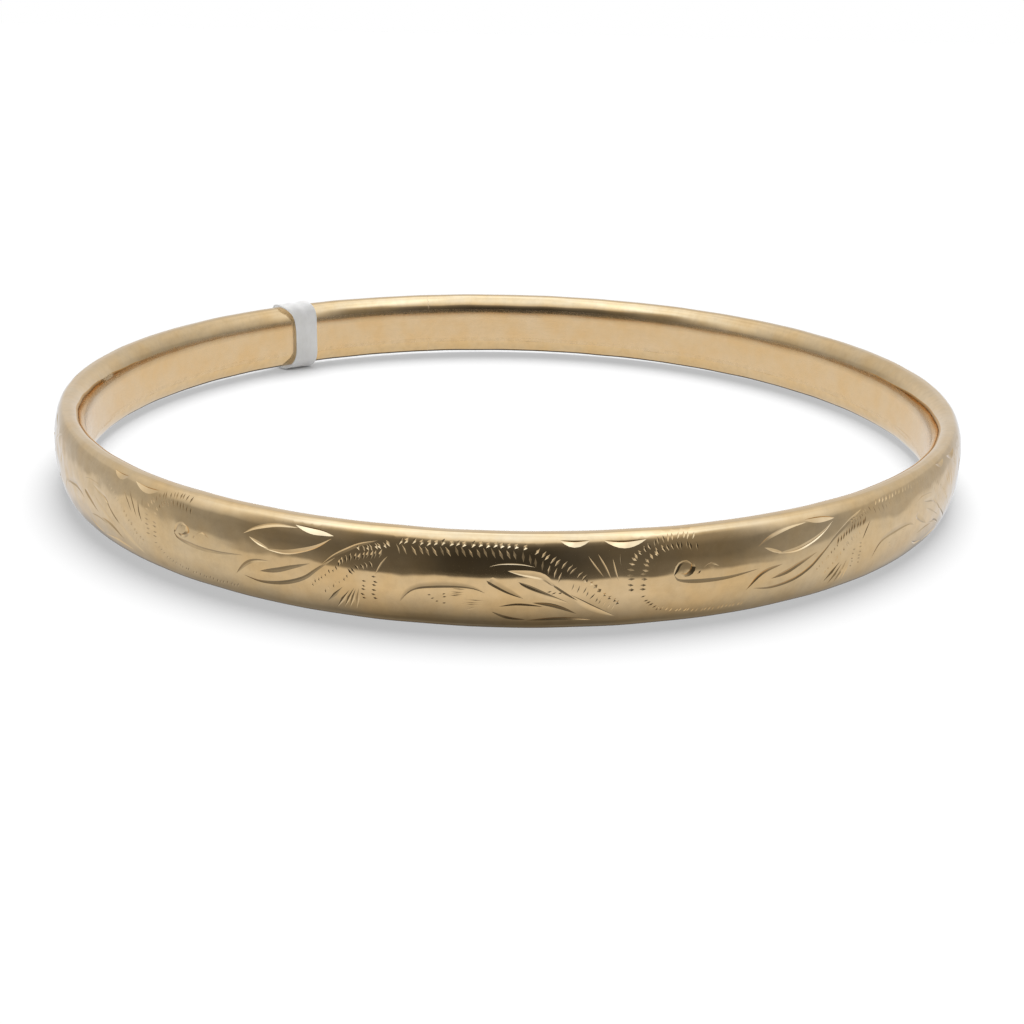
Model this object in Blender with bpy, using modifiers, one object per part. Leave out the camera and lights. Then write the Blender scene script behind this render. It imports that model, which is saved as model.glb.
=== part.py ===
"""Hollow, engraved-style bangle with a tag loop round its band.

The band is two formed gold strips: a domed outer shell whose edges turn in over the rims, and a liner that
closes its inner side. Solder joins the two along both edges, and closes the butt joint in each strip. A flat
strap is looped round the band, and slides along it all the way round the ring.

Metres, +Z up. The ring's axis is the Z axis. The origin is under its centre, at the height of the tag loop's
underside, which is the lowest surface. -Y is the front.
"""

import math

import bmesh
import bpy

MM = 0.001

# The band's section, seen as radius and height
OUTER_RADIUS = 33.5 * MM
BAND_THICKNESS = 2.2 * MM
BAND_HEIGHT = 5.6 * MM
RIM_RADIUS = 32.55 * MM  # where the band's edges are highest and lowest
RIM_FLAT = 0.2 * MM  # worn land on each edge, the lower of which the bangle rests on
INNER_FLAT = 1.8 * MM  # height of the flat middle of the inner face
SHEET = 0.35 * MM  # thickness of the gold that both strips are formed from

# Where the two strips end and how they are joined
SHELL_EDGE_ANGLE = math.radians(22)  # on the rounded inner corner, from the flat up towards the rim
LINER_EDGE_ANGLE = math.radians(11)
SOLDER_THICKNESS = 0.15 * MM
SOLDER_GAP = 0.06 * MM  # clearance that keeps joined solids apart
JOINT_WIDTH = 0.3 * MM  # slit between a strip's two ends
SHELL_JOINT_AZIMUTH = math.radians(105)  # at the back, in a plain part of the ornament
LINER_JOINT_AZIMUTH = math.radians(-75)  # opposite, so the two joints are staggered

# The tag's loop
TAG_AZIMUTH = math.radians(128.4)
TAG_WIDTH = 2.6 * MM
TAG_THICKNESS = 0.18 * MM
TAG_CLEARANCE_Z = 0.12 * MM
TAG_CLEARANCE_OUTSIDE = 0.2 * MM
TAG_CLEARANCE_INSIDE = 0.3 * MM
TAG_SQUARENESS = 3.0  # exponent of the loop's superellipse

RING_STEPS = 60
DOME_STEPS = 8
CORNER_STEPS = 5
TAG_STEPS = 40

MIDDLE_Z = TAG_THICKNESS + TAG_CLEARANCE_Z + BAND_HEIGHT / 2  # height of the band's middle plane
INNER_RADIUS = OUTER_RADIUS - BAND_THICKNESS
CROWN = OUTER_RADIUS - RIM_RADIUS - RIM_FLAT / 2  # how far the dome stands out of the rims
CORNER_DEPTH = RIM_RADIUS - RIM_FLAT / 2 - INNER_RADIUS
CORNER_HEIGHT = (BAND_HEIGHT - INNER_FLAT) / 2


def angles(start, end, steps):
    return [start + (end - start) * i / steps for i in range(steps + 1)]


def dome_point(angle):
    """A point of the outer face, from -90 degrees on the lower rim to 90 degrees on the upper one."""
    radius = RIM_RADIUS + RIM_FLAT / 2 + CROWN * math.cos(angle)
    return radius, MIDDLE_Z + BAND_HEIGHT / 2 * math.sin(angle)


def corner_point(angle, side):
    """A point of the inner face's rounded corner, from 0 on the flat to 90 degrees on a rim.

    side is 1 for the upper corner and -1 for the lower one.
    """
    radius = RIM_RADIUS - RIM_FLAT / 2 - CORNER_DEPTH * math.cos(angle)
    return radius, MIDDLE_Z + side * (INNER_FLAT / 2 + CORNER_HEIGHT * math.sin(angle))


def shell_profile():
    """Down the outside: from the upper inner corner, over the rim and the dome, to the lower inner corner."""
    right_angle = math.pi / 2
    upper = [corner_point(a, 1) for a in angles(SHELL_EDGE_ANGLE, right_angle, CORNER_STEPS)]
    dome = [dome_point(a) for a in angles(right_angle, -right_angle, DOME_STEPS)]
    lower = [corner_point(a, -1) for a in angles(right_angle, SHELL_EDGE_ANGLE, CORNER_STEPS)]
    return upper + dome + lower


def liner_profile():
    """Up the inside, across the flat and a little way onto each rounded corner."""
    lower = [corner_point(a, -1) for a in angles(LINER_EDGE_ANGLE, 0, 2)]
    upper = [corner_point(a, 1) for a in angles(0, LINER_EDGE_ANGLE, 2)]
    return lower + upper


def solder_profile(side):
    """The strip of the corner left between the liner's edge and the shell's, less a clearance at each end."""
    clearance = SOLDER_GAP / CORNER_HEIGHT
    turn = angles(LINER_EDGE_ANGLE + clearance, SHELL_EDGE_ANGLE - clearance, 2)
    return [corner_point(a, side) for a in (turn if side > 0 else turn[::-1])]


def strap_loop():
    """The strap's inner surface as a closed path round the band's section, as radius and height."""
    inside = INNER_RADIUS - TAG_CLEARANCE_INSIDE
    outside = OUTER_RADIUS + TAG_CLEARANCE_OUTSIDE
    middle, half_width = (inside + outside) / 2, (outside - inside) / 2
    half_height = BAND_HEIGHT / 2 + TAG_CLEARANCE_Z

    def squared(value):
        return math.copysign(abs(value) ** (2 / TAG_SQUARENESS), value)

    turn = [2 * math.pi * i / TAG_STEPS for i in range(TAG_STEPS)]
    return [(middle + half_width * squared(math.cos(a)), MIDDLE_Z + half_height * squared(math.sin(a)))
            for a in turn]


def material(name, color, metallic, roughness):
    mat = bpy.data.materials.new(name)
    mat.use_nodes = True
    shader = mat.node_tree.nodes["Principled BSDF"]
    shader.inputs["Base Color"].default_value = (*color, 1)
    shader.inputs["Metallic"].default_value = metallic
    shader.inputs["Roughness"].default_value = roughness
    return mat


def new_object(name, mesh, mat, collection):
    mesh.materials.append(mat)
    obj = bpy.data.objects.new(name, mesh)
    collection.objects.link(obj)
    return obj


def add_sheet_thickness(obj, thickness, offset):
    solidify = obj.modifiers.new("Sheet thickness", "SOLIDIFY")
    solidify.thickness = thickness
    solidify.offset = offset
    solidify.use_even_offset = True


def turned_strip(name, profile, thickness, mat, collection, azimuth=0.0, opening=0.0, steps=RING_STEPS):
    """A strip of sheet turned about Z. opening is the angle left out of the turn, centred on azimuth."""
    mesh = bpy.data.meshes.new(name)
    edges = [(i, i + 1) for i in range(len(profile) - 1)]
    mesh.from_pydata([(radius, 0, z) for radius, z in profile], edges, [])
    obj = new_object(name, mesh, mat, collection)
    obj.rotation_euler.z = azimuth + opening / 2

    screw = obj.modifiers.new("Turn", "SCREW")
    screw.angle = 2 * math.pi - opening
    screw.steps = steps
    screw.render_steps = steps
    screw.use_merge_vertices = opening == 0
    screw.merge_threshold = 0.000001
    screw.use_smooth_shade = True
    add_sheet_thickness(obj, thickness, -1)


def strip_with_joint(name, solder_name, profile, radius, azimuth, mat, solder, collection):
    """A strip bent into a ring, with a slit where its ends meet, and the solder that fills the slit."""
    slit = JOINT_WIDTH / radius
    clearance = SOLDER_GAP / radius
    turned_strip(name, profile, SHEET, mat, collection, azimuth, slit)
    filled = slit - 2 * clearance
    turned_strip(solder_name, profile, SHEET, solder, collection, azimuth + math.pi, 2 * math.pi - filled, 1)


def tag_loop(mat, collection):
    """The strap's path, drawn out across the band and thickened outwards, with its origin on the ring's axis."""
    mesh = bpy.data.meshes.new("tag_loop")
    bm = bmesh.new()
    path = [bm.verts.new((radius, -TAG_WIDTH / 2, z)) for radius, z in strap_loop()]
    edges = [bm.edges.new((path[i - 1], path[i])) for i in range(TAG_STEPS)]
    drawn = bmesh.ops.extrude_edge_only(bm, edges=edges)["geom"]
    far_side = [v for v in drawn if isinstance(v, bmesh.types.BMVert)]
    bmesh.ops.translate(bm, verts=far_side, vec=(0, TAG_WIDTH, 0))
    bmesh.ops.recalc_face_normals(bm, faces=bm.faces)
    bm.to_mesh(mesh)
    bm.free()
    mesh.shade_smooth()
    obj = new_object("tag_loop", mesh, mat, collection)
    obj.rotation_euler.z = TAG_AZIMUTH
    add_sheet_thickness(obj, TAG_THICKNESS, 1)


def main():
    for obj in list(bpy.data.objects):
        bpy.data.objects.remove(obj)
    collection = bpy.data.collections.new("bangle")
    bpy.context.scene.collection.children.link(collection)

    polished = material("polished_gold", (0.83, 0.58, 0.26), 1.0, 0.16)
    satin = material("satin_gold", (0.80, 0.56, 0.27), 1.0, 0.34)
    solder = material("gold_solder", (0.74, 0.52, 0.25), 1.0, 0.30)
    strap = material("white_strap", (0.80, 0.79, 0.77), 0.0, 0.55)

    strip_with_joint("outer_shell", "shell_joint_solder", shell_profile(), OUTER_RADIUS,
                     SHELL_JOINT_AZIMUTH, polished, solder, collection)
    strip_with_joint("inner_liner", "liner_joint_solder", liner_profile(), INNER_RADIUS,
                     LINER_JOINT_AZIMUTH, satin, solder, collection)
    turned_strip("upper_edge_solder", solder_profile(1), SOLDER_THICKNESS, solder, collection)
    turned_strip("lower_edge_solder", solder_profile(-1), SOLDER_THICKNESS, solder, collection)
    tag_loop(strap, collection)


main()
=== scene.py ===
"""The visible bangle: an engraved gold shell, a satin liner, fine solder lines and a soft tag strap.

Distances are in metres unless a name or a comment says mm. A place on the band is given by x, the arc from
the front at the outer radius, and by p, the arc along the section of the strip it lies on. An azimuth is an
angle round the ring from the front, which is -Y, towards +X.
"""

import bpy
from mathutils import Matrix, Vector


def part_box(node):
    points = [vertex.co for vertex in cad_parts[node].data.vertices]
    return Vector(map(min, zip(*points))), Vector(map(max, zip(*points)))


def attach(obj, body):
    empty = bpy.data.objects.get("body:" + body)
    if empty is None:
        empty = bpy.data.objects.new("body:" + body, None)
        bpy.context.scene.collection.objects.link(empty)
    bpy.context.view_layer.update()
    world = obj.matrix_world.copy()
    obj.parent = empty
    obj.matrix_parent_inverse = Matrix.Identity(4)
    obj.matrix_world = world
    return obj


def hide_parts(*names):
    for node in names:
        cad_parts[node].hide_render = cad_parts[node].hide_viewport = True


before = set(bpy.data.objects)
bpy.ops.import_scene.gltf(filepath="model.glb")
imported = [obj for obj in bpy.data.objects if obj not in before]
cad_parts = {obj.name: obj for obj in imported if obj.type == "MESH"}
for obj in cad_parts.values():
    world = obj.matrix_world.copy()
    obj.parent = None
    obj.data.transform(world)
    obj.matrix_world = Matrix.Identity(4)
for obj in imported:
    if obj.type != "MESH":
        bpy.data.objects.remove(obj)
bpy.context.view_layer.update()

import math
import random

import bpy
import numpy as np
from mathutils import Matrix, Vector
from mathutils.geometry import delaunay_2d_cdt

MM = 0.001

# The band's section, from the frame and the sheet it is made of
SHELL_LOW, SHELL_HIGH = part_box("outer_shell")
OUTER_RADIUS = SHELL_HIGH.x
BAND_HEIGHT = SHELL_HIGH.z - SHELL_LOW.z
MIDDLE_Z = (SHELL_HIGH.z + SHELL_LOW.z) / 2  # height of the band's middle plane
BAND_THICKNESS = 2.2 * MM
INNER_RADIUS = OUTER_RADIUS - BAND_THICKNESS
RIM_RADIUS = OUTER_RADIUS - 0.95 * MM  # where the band's edges are highest and lowest
RIM_FLAT = 0.2 * MM  # worn land on each edge
INNER_FLAT = 1.8 * MM  # height of the flat middle of the inner face
SHEET = 0.35 * MM  # thickness of the gold that both strips are formed from
SOLDER_THICKNESS = 0.15 * MM
SHELL_EDGE = math.radians(22)  # where each strip ends on the inner corner, from the flat up towards the rim
LINER_EDGE = math.radians(11)
CIRCUMFERENCE = 2 * math.pi * OUTER_RADIUS
MM_PER_DEGREE = math.radians(1) * OUTER_RADIUS / MM

# The soldered joints that close the two strips
SHELL_JOINT_AZIMUTH = math.radians(195)
LINER_JOINT_AZIMUTH = math.radians(15)
JOINT_HALF_WIDTH = 0.06 * MM

# How fine the meshes are
DOME_SAMPLES = 500
CORNER_SAMPLES = 80
LINER_SAMPLES = 20  # on each of its corners
SOLDER_SAMPLES = 12
COLUMN_STEP = 0.6 * MM
ROW_STEP = 0.26 * MM
ROW_TURN = math.radians(9)  # the most that the section may turn between two rows

chance = random.Random(11)


def arc_lengths(line):
    """The distance along a line of points to each of them."""
    return np.concatenate([[0], np.cumsum(np.hypot(*np.diff(line, axis=0).T))])


def unit(vectors):
    return vectors / np.linalg.norm(vectors, axis=1)[:, None]


def wave_sum(waves, x, p):
    """The sum of sine waves, each given as turns per mm along x and up p, and a phase."""
    return sum(np.sin(2 * math.pi * (a * x + b * p) / MM + phase) for a, b, phase in waves)


# ---------------- the band's section

def corner(angle, side):
    """A point of the inner face's rounded corner, from 0 on the flat to 90 degrees on a rim.

    side is 1 for the upper corner and -1 for the lower one.
    """
    radius = RIM_RADIUS - RIM_FLAT / 2 - (RIM_RADIUS - RIM_FLAT / 2 - INNER_RADIUS) * math.cos(angle)
    rise = (BAND_HEIGHT - INNER_FLAT) / 2 * math.sin(angle)
    return radius, MIDDLE_Z + side * (INNER_FLAT / 2 + rise)


def dome(angle):
    """A point of the outer face, from -90 degrees on the lower rim to 90 degrees on the upper one."""
    crown = OUTER_RADIUS - RIM_RADIUS - RIM_FLAT / 2
    radius = RIM_RADIUS + RIM_FLAT / 2 + crown * math.cos(angle)
    return radius, MIDDLE_Z + BAND_HEIGHT / 2 * math.sin(angle)


class Section:
    """A strip's outline, with the way that faces out of the metal, to be read at any arc length along it."""

    def __init__(self, points):
        outline = np.array(points)
        self.p = arc_lengths(outline)
        self.r, self.z = outline.T
        tangent = unit(np.gradient(outline, self.p, axis=0))
        self.nr, self.nz = tangent[:, 1], -tangent[:, 0]
        self.length = self.p[-1]

    def at(self, p):
        """Radius, height, and the radial and the upward part of the way out."""
        return [np.interp(p, self.p, values) for values in (self.r, self.z, self.nr, self.nz)]

    def rows(self, step=ROW_STEP, turn=ROW_TURN):
        """Arc lengths for a mesh's rows, closer together where the outline bends."""
        bend = np.abs(np.diff(np.unwrap(np.arctan2(self.nz, self.nr))))
        effort = np.concatenate([[0], np.cumsum(np.diff(self.p) / step + bend / turn)])
        return np.interp(np.linspace(0, effort[-1], math.ceil(effort[-1]) + 1), effort, self.p)


def shell_section():
    quarter = math.pi / 2
    lower = [corner(a, -1) for a in np.linspace(SHELL_EDGE, quarter, CORNER_SAMPLES)]
    middle = [dome(a) for a in np.linspace(-quarter, quarter, DOME_SAMPLES)]
    upper = [corner(a, 1) for a in np.linspace(quarter, SHELL_EDGE, CORNER_SAMPLES)]
    return Section(lower + middle + upper)


def liner_section():
    upper = [corner(a, 1) for a in np.linspace(LINER_EDGE, 0, LINER_SAMPLES)]
    lower = [corner(a, -1) for a in np.linspace(0, LINER_EDGE, LINER_SAMPLES)]
    return Section(upper + lower)


def solder_section(side):
    points = [corner(a, side) for a in np.linspace(LINER_EDGE, SHELL_EDGE, SOLDER_SAMPLES)]
    return Section(points if side < 0 else points[::-1])


SHELL = shell_section()
LINER = liner_section()
SHELL_MIDDLE_MM = SHELL.length / 2 / MM  # the dome's middle, along the shell's section


# ---------------- hand-made unevenness

# The ornament and the dents are drawn on a scale of heights up the dome, in mm, with this as its middle.
MIDDLE_HEIGHT_MM = 3.12

DENTS = (  # degrees from the front, height up the dome, radius along and up, depth; all in mm but the first
    (-88, 3.0, 1.8, 0.9, 0.05), (-82, 4.4, 2.0, 0.6, 0.045), (-77, 3.5, 1.2, 0.5, 0.04),
    (-72, 4.8, 2.2, 0.5, 0.04), (-68, 2.7, 1.3, 0.6, 0.035), (-64, 3.9, 1.6, 0.5, 0.042),
    (-59, 4.9, 1.5, 0.4, 0.035), (-56, 3.1, 1.1, 0.6, 0.035), (-51, 4.2, 1.3, 0.5, 0.034),
    (-46, 5.0, 1.2, 0.4, 0.026), (-43, 3.2, 1.4, 0.6, 0.026), (-37, 4.3, 1.3, 0.5, 0.022),
    (-31, 3.1, 1.2, 0.5, 0.014), (-28.5, 4.7, 1.0, 0.5, 0.018), (-20, 2.9, 1.4, 0.4, 0.008),
    (-12, 4.1, 1.1, 0.35, 0.007), (3, 4.8, 1.6, 0.3, 0.005), (14.5, 3.9, 0.9, 0.4, 0.01),
    (20, 4.8, 1.4, 0.4, 0.014), (25.5, 4.3, 1.1, 0.5, 0.016), (32, 4.7, 1.5, 0.5, 0.02),
    (39, 3.4, 1.6, 0.6, 0.02), (46, 4.6, 1.5, 0.5, 0.026), (55, 3.9, 2.0, 0.7, 0.03),
    (63, 4.8, 1.6, 0.5, 0.032), (70, 3.2, 1.7, 0.8, 0.035), (78, 4.4, 1.8, 0.6, 0.035),
    (98, 3.4, 2.2, 0.9, 0.04), (117, 2.7, 1.9, 0.8, 0.035), (139, 4.3, 2.1, 0.7, 0.03),
    (158, 3.2, 1.8, 0.9, 0.04), (-108, 2.9, 2.1, 0.9, 0.035), (-131, 4.2, 1.7, 0.8, 0.04),
    (-149, 3.5, 2.4, 0.8, 0.035),
)

SLOW_WAVE_MM = 0.0055
SLOW_WAVES = ((31, 0.9, 0), (47, -1.2, 1.3), (18, 1.6, 4))  # turns round the ring, radians per mm up, phase

KNOCK_MM = 0.0042
KNOCK_REACH_MM = 2.3  # how far from the dome's middle the knocks go
KNOCKS = (  # waves: turns per mm along and up, and a phase
    (0.31, 0.42, 0.3), (-0.22, 0.66, 1.9), (0.47, -0.35, 4.1), (0.13, 0.93, 2.2), (0.58, 0.21, 5.3),
    (-0.39, 0.81, 0.8), (0.71, 0.55, 3.6),
)
KNOCKED_PLACES = ((-72, 34, 1.0), (75, 30, 0.7), (180, 60, 0.6))  # degrees from the front, spread, share
KNOCKED_EVERYWHERE = 0.10  # the share of the knocks that the rest of the ring has


def knocked(x, p):
    """The ragged little flats that years of knocks have left, mostly at the sides of the ring. In mm."""
    share = KNOCKED_EVERYWHERE
    for place, spread, more in KNOCKED_PLACES:
        away = (np.degrees(x / OUTER_RADIUS) - place + 180) % 360 - 180
        share = share + more * np.exp(-(away / spread) ** 2)
    on_dome = np.exp(-((p / MM - SHELL_MIDDLE_MM) / KNOCK_REACH_MM) ** 6)
    return share * on_dome * KNOCK_MM * wave_sum(KNOCKS, x, p)


def unevenness(x, p):
    """How far the outer face stands out of a true form, from knocks, shallow dents and slow waves."""
    turn, up = x / OUTER_RADIUS, p / MM
    waves = sum(np.sin(turns * turn + rise * up + phase) for turns, rise, phase in SLOW_WAVES)
    total = SLOW_WAVE_MM * waves + knocked(x, p)
    for degrees, height, wide, tall, depth in DENTS:
        away = (turn - math.radians(degrees) + math.pi) % (2 * math.pi) - math.pi
        centre = height - MIDDLE_HEIGHT_MM + SHELL_MIDDLE_MM
        distance = (away * OUTER_RADIUS / MM / wide) ** 2 + ((up - centre) / tall) ** 2
        total = total - depth * np.exp(-distance)
    return total * MM


# ---------------- the ornament, drawn flat
# A cut is a keel line with a wall on each side. Points are degrees from the motif's start and mm up the dome.

REPEATS = 7
FIRST_REPEAT = -3  # counted from the copy that starts at the front
PERIOD = 2 * math.pi / REPEATS
CUT_SLOPE = 0.42  # depth of a cut over the width of its wider wall
END_BLUNTNESS = 0.85  # under 1, so that a cut opens quickly from its ends
KEEL_STEP = 0.3 * MM
PATH_STEP_MM = 0.1
TICK_WIDTH_MM = 0.13
FINE_CUT = 0.8 * MM  # a cut shorter than this wears away first
WORN_PLACES = ((-66, 24, 0.88), (52, 14, 0.45), (80, 16, 0.6), (150, 25, 0.5))  # degrees, spread, loss
WORN_WIDTH = 0.4  # the share of its width that a fine cut keeps where it is quite rubbed away
JOINT_MARGIN = 0.2 * MM  # nothing is cut closer than this to the shell's joint

# How unevenly the ornament is cut, as by hand
PITCH_SLIP = 0.08  # of the pitch of a row of ticks
TICK_TURN = 6  # degrees
TICK_LENGTHS = (0.88, 1.1)
TICK_WIDTHS = (0.9, 1.1)
CUT_WIDTHS = (0.92, 1.08)
MOTIF_SLIP_MM = (0.06, 0.04)  # along and up
POINT_SLIP_MM = 0.02


def smooth_line(points, spacing):
    """Points along a Catmull-Rom curve through the given ones."""
    pts = np.array(points, float)
    if len(pts) == 2:
        return np.array([pts[0], pts.mean(0), pts[1]])
    padded = np.vstack([2 * pts[0] - pts[1], pts, 2 * pts[-1] - pts[-2]])
    line = []
    for a, b, c, d in zip(padded, padded[1:], padded[2:], padded[3:]):
        count = max(2, math.ceil(np.linalg.norm(c - b) / spacing))
        for t in np.arange(count) / count:
            line.append(0.5 * (2 * b + (c - a) * t + (2 * a - 5 * b + 4 * c - d) * t ** 2
                               + (3 * b - a - 3 * c + d) * t ** 3))
    return np.array(line + [pts[-1]])


def swell(t, peak):
    """The width of a graver's cut along its length: nothing at both ends, and widest at peak."""
    rising = np.sin(math.pi / 2 * np.clip(t / peak, 0, 1))
    falling = np.sin(math.pi / 2 * np.clip((1 - t) / (1 - peak), 0, 1))
    return np.minimum(rising, falling) ** END_BLUNTNESS


def cut(points, width, lean=0.0, peak=0.5, slope=CUT_SLOPE, scoop=1.0):
    """A cut along a line, with its width in mm.

    lean runs from -1, where the wide wall is on the right of the line, to 1, where it is on the left.
    scoop is over 1 where the wide wall is hollow, so that it falls away softly at its outer edge.
    """
    return {"points": points, "width": width, "lean": lean, "peak": peak, "slope": slope, "scoop": scoop}


def ticks(path, pitch, length, angle, width=TICK_WIDTH_MM):
    """Short cuts along a path, each turned by angle from the path's direction, and set a little unevenly."""
    line = smooth_line([(degrees * MM_PER_DEGREE, height) for degrees, height in path], PATH_STEP_MM)
    run = arc_lengths(line)

    def place(s):
        return np.array([np.interp(s, run, line[:, 0]), np.interp(s, run, line[:, 1])])

    cuts = []
    for s in np.arange(pitch / 2, run[-1], pitch):
        s = s + pitch * chance.uniform(-PITCH_SLIP, PITCH_SLIP)
        ahead = place(s + PATH_STEP_MM) - place(s - PATH_STEP_MM)
        turned = math.radians(angle + chance.uniform(-TICK_TURN, TICK_TURN))
        heading = math.atan2(ahead[1], ahead[0]) + turned
        half = length / 2 * chance.uniform(*TICK_LENGTHS) * np.array([math.cos(heading), math.sin(heading)])
        ends = [(along / MM_PER_DEGREE, height) for along, height in (place(s) - half, place(s) + half)]
        cuts.append(cut(ends, width * chance.uniform(*TICK_WIDTHS), peak=0.45))
    return cuts


def leaf_eye():
    """The pointed oval at the motif's upper left, from two strokes above and two below."""
    return [
        cut([(-26.3, 4.5), (-24.8, 5.0), (-22.6, 5.33), (-20.2, 5.4)], 0.24, -0.4, 0.45, 0.3),
        cut([(-20.5, 5.50), (-18.8, 5.44), (-17.6, 5.36), (-16.4, 5.2)], 0.36, -0.8, 0.5, 0.32),
        cut([(-25.7, 4.4), (-24.6, 4.08), (-23.3, 3.86)], 0.20, 0.5, 0.5, 0.3),
        cut([(-23.9, 3.86), (-21.6, 3.8), (-19.6, 4.08), (-18, 4.5), (-16.7, 5.05)], 0.28, 0.7, 0.4, 0.3),
    ]


def scroll_strokes():
    """The long strokes that sweep up under the leaf eye to the rope."""
    return [
        cut([(-27.3, 1.95), (-26.1, 2.65), (-25, 3.02), (-23.3, 3.18)], 0.24, 0.1, 0.45),
        cut([(-24.5, 2.42), (-22.6, 2.68), (-21, 3.02), (-18.9, 3.46)], 0.31, 0.0, 0.35, 0.4),
        cut([(-26.5, 1.95), (-24.4, 1.78), (-21.8, 1.98), (-19.7, 2.5), (-18.2, 3.2), (-16.3, 4.05)],
            0.25, 0.05, 0.5, 0.4),
        cut([(-18.0, 3.35), (-16.6, 4.1), (-15.2, 4.62), (-13.9, 4.98), (-12.2, 5.3)],
            0.26, -0.45, 0.55, 0.16),
    ]


def bottom_fan():
    """A fan of short strokes near the lower edge."""
    feet = ((-17.2, 1.25), (-16.4, 0.9), (-15.6, 1.0), (-15.0, 1.05), (-14.3, 1.0))
    heads = ((-15.4, 2.35), (-14.9, 2.2), (-14.4, 2.4), (-14.2, 2.35), (-13.9, 2.4))
    return [cut([foot, head], 0.24, 0.0, 0.4, 0.5) for foot, head in zip(feet, heads)]


def tick_rows_beside_scroll():
    """Rows of ticks and a fine line beside the scroll's end."""
    rows = ticks([(-18.8, 2.2), (-17.3, 2.95), (-16, 3.6)], 0.27, 0.28, 65, 0.12)
    rows += ticks([(-17.5, 1.9), (-16.2, 2.5), (-14.9, 3.2)], 0.29, 0.28, 60, 0.12)
    rows += ticks([(-16.1, 3.75), (-14.6, 4.15), (-13.2, 4.4), (-11.8, 4.55)], 0.25, 0.50, 62, 0.18)
    rows += ticks([(-14.9, 3.3), (-13.6, 3.75), (-12.4, 3.95)], 0.25, 0.44, 100, 0.16)
    rows += ticks([(-14.2, 4.72), (-12.2, 4.95), (-10.9, 5.2)], 0.25, 0.42, 112, 0.16)
    rows += ticks([(-13.5, 1.7), (-13.4, 3.1)], 0.27, 0.26, 80, 0.12)
    rows += ticks([(-12.4, 1.8), (-12.3, 3.3)], 0.25, 0.28, 80, 0.13)
    rows.append(cut([(-12.2, 3.3), (-11.6, 4.0), (-11.0, 4.45)], 0.11))
    return rows


def long_rope():
    """The rope along the upper edge, which then bends down to the right and thins out."""
    rim = [(-10.3, 5.38), (-4, 5.46), (2.3, 5.38)]
    teeth = [(-10.4, 4.92), (-4, 4.98), (0.6, 4.92), (2.0, 4.74), (3.4, 4.35), (4.6, 3.9), (5.5, 3.5)]
    outer = [(2.7, 5.2), (4.0, 4.82), (5.4, 4.36), (6.6, 3.94), (7.5, 3.55)]
    dots = [(7.4, 3.58), (8.5, 3.05), (9.8, 2.42), (11.2, 1.95)]
    pale = [(6.2, 3.2), (7.6, 2.78), (8.8, 2.25), (10.4, 1.7)]
    rows = ticks(rim, 0.40, 0.40, 62, 0.26) + ticks(teeth, 0.40, 0.58, 116, 0.15)
    rows += ticks(outer, 0.33, 0.50, 82, 0.15) + ticks(dots, 0.33, 0.30, 80, 0.24)
    rows += ticks(pale, 0.30, 0.46, 95, 0.085)
    return rows + ticks([(3.9, 2.82), (5.3, 2.74)], 0.30, 0.30, 20, 0.08)


def arc_leaf():
    """A broad arc under the rope, over scattered dots and fine shading lines."""
    arc = [(-10.0, 1.85), (-9.2, 2.5), (-8.2, 2.84), (-6.4, 3.02), (-4.4, 3.08), (-2.9, 2.98), (-1.8, 2.74)]
    cuts = [cut(arc, 0.48, 0.72, 0.5, 0.13, 1.7)]
    for at, height in ((-7.15, 2.42), (-7.0, 2.18), (-6.6, 2.0), (-5.95, 2.5), (-5.75, 2.3), (-5.8, 1.95)):
        cuts.append(cut([(at, height), (at + 0.35, height + 0.05)], 0.08))
    for start, end, low, count in ((-5.6, -3.6, 2.46, 4), (-4.7, -1.5, 1.98, 3), (-3.9, -2.7, 1.62, 2)):
        for i in range(count):
            line = [(start + 0.15 * i, low + 0.145 * i), (end + 0.1 * i, low + 0.135 * i)]
            cuts.append(cut(line, 0.06, slope=0.25))
    return cuts


def big_leaf():
    """The large leaf to the right of the arc, with its veins and side leaves."""
    return [
        cut([(-1.5, 4.2), (-0.6, 4.34), (0.6, 4.38), (1.8, 4.33), (2.8, 4.2)], 0.08, 0.2),
        cut([(0.2, 4.08), (1.4, 3.88), (2.6, 3.74), (3.5, 3.6), (4.3, 3.32), (5.0, 3.02)],
            0.38, 0.7, 0.5, 0.17, 1.3),
        cut([(3.8, 3.52), (4.6, 3.2), (5.5, 2.82), (6.9, 2.3)], 0.15),
        cut([(6.0, 2.62), (7.2, 2.22), (8.4, 1.8), (10.6, 1.1)], 0.42, -0.75, 0.4, 0.12, 1.5),
        cut([(-1.7, 3.42), (-0.8, 3.1), (0.3, 2.74), (1.8, 2.38)], 0.50, 0.6, 0.12, 0.14, 1.3),
        cut([(1.1, 3.45), (2.6, 3.05), (4.2, 2.62), (6.0, 2.17)], 0.40, -0.62, 0.3, 0.10, 1.6),
        cut([(-0.6, 1.93), (1.0, 2.06), (2.4, 2.05), (3.6, 1.95)], 0.13),
        cut([(2.6, 2.2), (4.3, 2.06), (5.6, 1.8), (6.9, 1.44)], 0.22, 0.2, 0.45),
        cut([(-1.3, 1.56), (-0.3, 1.26), (0.7, 1.08), (1.9, 1.04)], 0.20, 0.0, 0.45),
        cut([(2.0, 0.98), (4.6, 1.10), (6.6, 1.06), (8.2, 0.94)], 0.22),
    ]


def top_facets():
    """Two bright facets cut into the upper edge."""
    return [
        cut([(5.0, 5.72), (6.4, 5.64), (7.9, 5.7)], 0.36, -0.85, slope=0.34),
        cut([(9.2, 5.66), (11.2, 5.52), (13.3, 5.62)], 0.38, -0.85, slope=0.34),
    ]


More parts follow.
